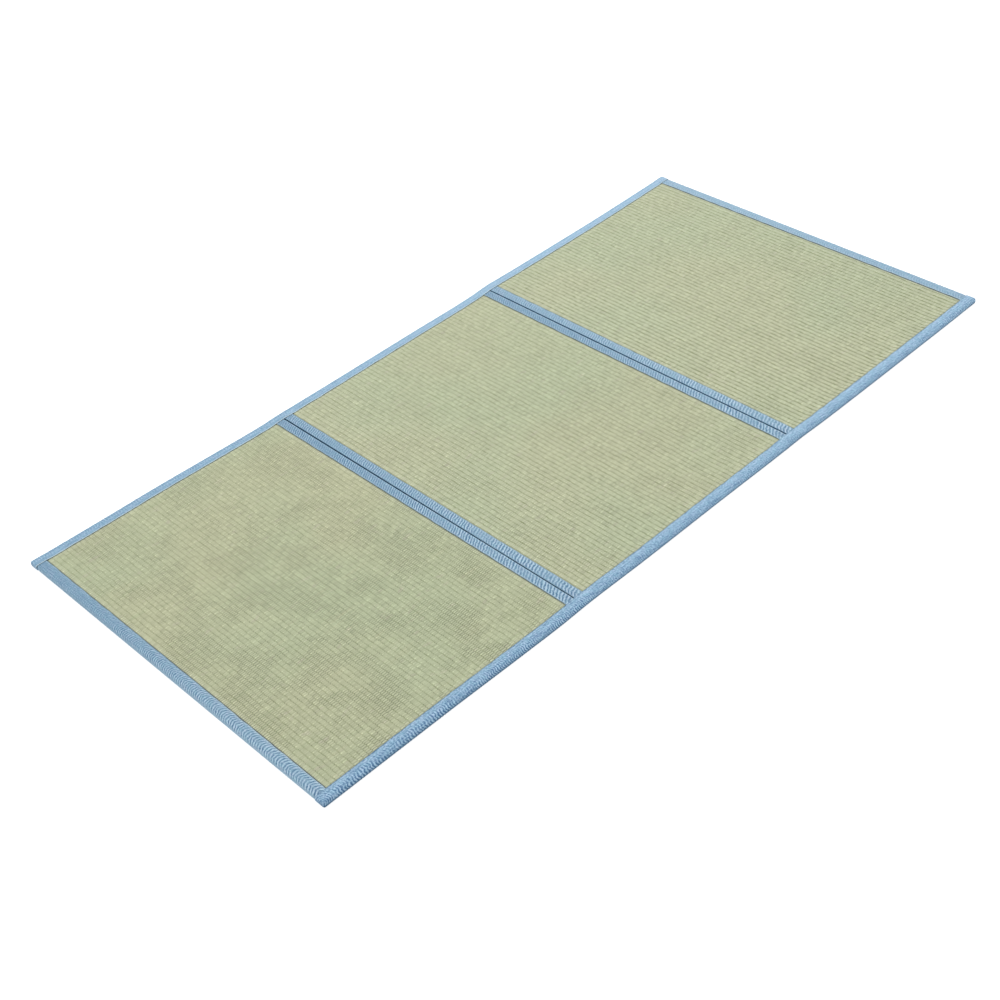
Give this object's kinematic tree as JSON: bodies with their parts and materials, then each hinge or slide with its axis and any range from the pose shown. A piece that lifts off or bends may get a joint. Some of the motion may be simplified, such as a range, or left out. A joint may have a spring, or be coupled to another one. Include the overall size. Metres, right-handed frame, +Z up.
{
  "type": "folding tatami mat",
  "caption": "Folding tatami mat of woven rush, opened out flat, in panels side by side with a folded fabric tape round every panel and along both long sides.",
  "frame": {"origin": "middle of the mat, on the floor it lies on", "axes": "+X along the mat from its near end to its far end, +Y across it to its left side, +Z up from the floor"},
  "size_m": [1.8026, 0.8981, 0.0112],
  "materials": {
    "rush": "woven rush, pale green with straw tones, matt with a slight natural sheen",
    "tape": "light blue ribbed cotton blend tape, matt"
  },
  "bodies": {
    "root": {"panel_near": "rush", "panel_middle": "rush", "panel_far": "rush", "end_binding_near": "tape", "end_binding_far": "tape", "fold_binding_1_near": "tape", "fold_binding_1_far": "tape", "fold_binding_2_near": "tape", "fold_binding_2_far": "tape", "side_binding_left": "tape", "side_binding_right": "tape"}
  },
  "joints": []
}
